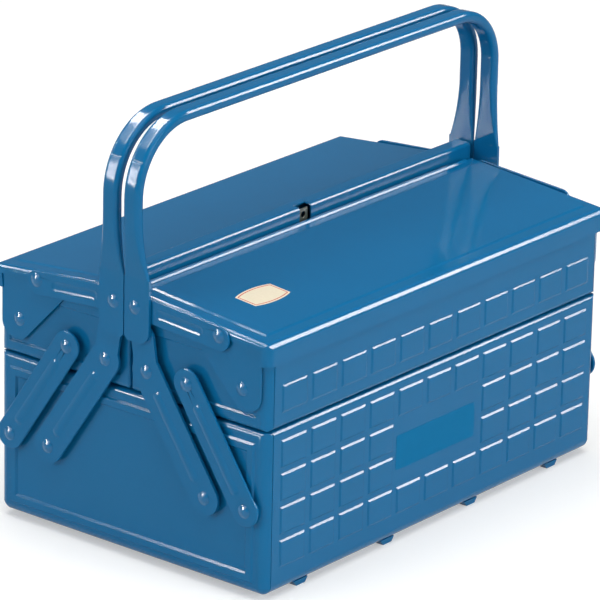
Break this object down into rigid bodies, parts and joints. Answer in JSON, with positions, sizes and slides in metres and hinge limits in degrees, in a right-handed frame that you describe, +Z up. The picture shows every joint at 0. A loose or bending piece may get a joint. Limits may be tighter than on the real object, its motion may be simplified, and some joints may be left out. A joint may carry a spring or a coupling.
{
  "type": "metal tool box",
  "caption": "Blue painted sheet steel tool box with cantilever trays over a deep base and gabled lids that open together with the twin carrying bows.",
  "frame": {"origin": "middle of the footprint on the ground under the pressed feet, box closed", "axes": "+X along the length to the right seen from the front, +Y from the front to the back, +Z up"},
  "size_m": [0.358, 0.22, 0.2838],
  "materials": {
    "blue_paint": "gloss enamel"
  },
  "bodies": {
    "base": {"base_wrap": "blue_paint", "base_end_left": "blue_paint", "base_end_right": "blue_paint", "base_pivot_rivets": "blue_paint"},
    "front_handle_set": {"front_handle": "blue_paint", "front_arm_left": "blue_paint", "front_arm_right": "blue_paint", "front_leg_rivets": "blue_paint"},
    "front_tray_set": {"front_tray_wrap": "blue_paint", "front_tray_end_left": "blue_paint", "front_tray_end_right": "blue_paint", "front_tray_rivets": "blue_paint"},
    "front_lid_set": {"front_lid": "blue_paint", "front_lid_ear_left": "blue_paint", "front_lid_ear_right": "blue_paint", "front_ear_rivets": "blue_paint", "front_staple": "blue_paint"},
    "front_link_pair": {"front_link_left": "blue_paint", "front_link_right": "blue_paint"},
    "front_strap_pair": {"front_strap_left": "blue_paint", "front_strap_right": "blue_paint"},
    "back_handle_set": {"back_handle": "blue_paint", "back_arm_left": "blue_paint", "back_arm_right": "blue_paint", "back_leg_rivets": "blue_paint"},
    "back_tray_set": {"back_tray_wrap": "blue_paint", "back_tray_end_left": "blue_paint", "back_tray_end_right": "blue_paint", "back_tray_rivets": "blue_paint"},
    "back_lid_set": {"back_lid": "blue_paint", "back_lid_ear_left": "blue_paint", "back_lid_ear_right": "blue_paint", "back_ear_rivets": "blue_paint"},
    "back_link_pair": {"back_link_left": "blue_paint", "back_link_right": "blue_paint"},
    "back_strap_pair": {"back_strap_left": "blue_paint", "back_strap_right": "blue_paint"}
  },
  "joints": [
    {"name": "front_handle_swing", "type": "hinge", "parent": "base", "child": "front_handle_set", "pos_m": [0, -0.063, 0.0585], "axis": [1, 0, 0], "range_deg": [0, 60]},
    {"name": "front_tray_level", "type": "hinge", "parent": "front_handle_set", "child": "front_tray_set", "pos_m": [0, -0.0165, 0.128], "axis": [1, 0, 0], "range_deg": [-60, 0]},
    {"name": "front_lid_lift", "type": "hinge", "parent": "front_tray_set", "child": "front_lid_set", "pos_m": [0, -0.0891, 0.1349], "axis": [1, 0, 0], "range_deg": [0, 69.9]},
    {"name": "front_link_swing", "type": "hinge", "parent": "base", "child": "front_link_pair", "pos_m": [0, -0.0947, 0.0585], "axis": [1, 0, 0], "range_deg": [0, 60]},
    {"name": "front_strap_swing", "type": "hinge", "parent": "front_handle_set", "child": "front_strap_pair", "pos_m": [0, -0.0086, 0.1682], "axis": [1, 0, 0], "range_deg": [-68.5, 0]},
    {"name": "back_handle_swing", "type": "hinge", "parent": "base", "child": "back_handle_set", "pos_m": [0, 0.063, 0.0585], "axis": [-1, 0, 0], "range_deg": [0, 60]},
    {"name": "back_tray_level", "type": "hinge", "parent": "back_handle_set", "child": "back_tray_set", "pos_m": [0, 0.0165, 0.128], "axis": [-1, 0, 0], "range_deg": [-60, 0]},
    {"name": "back_lid_lift", "type": "hinge", "parent": "back_tray_set", "child": "back_lid_set", "pos_m": [0, 0.0891, 0.1349], "axis": [-1, 0, 0], "range_deg": [0, 69.9]},
    {"name": "back_link_swing", "type": "hinge", "parent": "base", "child": "back_link_pair", "pos_m": [0, 0.0947, 0.0585], "axis": [-1, 0, 0], "range_deg": [0, 60]},
    {"name": "back_strap_swing", "type": "hinge", "parent": "back_handle_set", "child": "back_strap_pair", "pos_m": [0, 0.0086, 0.1682], "axis": [-1, 0, 0], "range_deg": [-68.5, 0]}
  ],
  "couplings": [
    {"joint": "front_tray_level", "follows": "front_handle_swing", "ratio": -1},
    {"joint": "front_lid_lift", "follows": "front_handle_swing", "ratio": 1.1606},
    {"joint": "front_link_swing", "follows": "front_handle_swing", "ratio": 1},
    {"joint": "front_strap_swing", "follows": "front_handle_swing", "ratio": -1.1371},
    {"joint": "back_tray_level", "follows": "back_handle_swing", "ratio": -1},
    {"joint": "back_lid_lift", "follows": "back_handle_swing", "ratio": 1.1606},
    {"joint": "back_link_swing", "follows": "back_handle_swing", "ratio": 1},
    {"joint": "back_strap_swing", "follows": "back_handle_swing", "ratio": -1.1371}
  ]
}
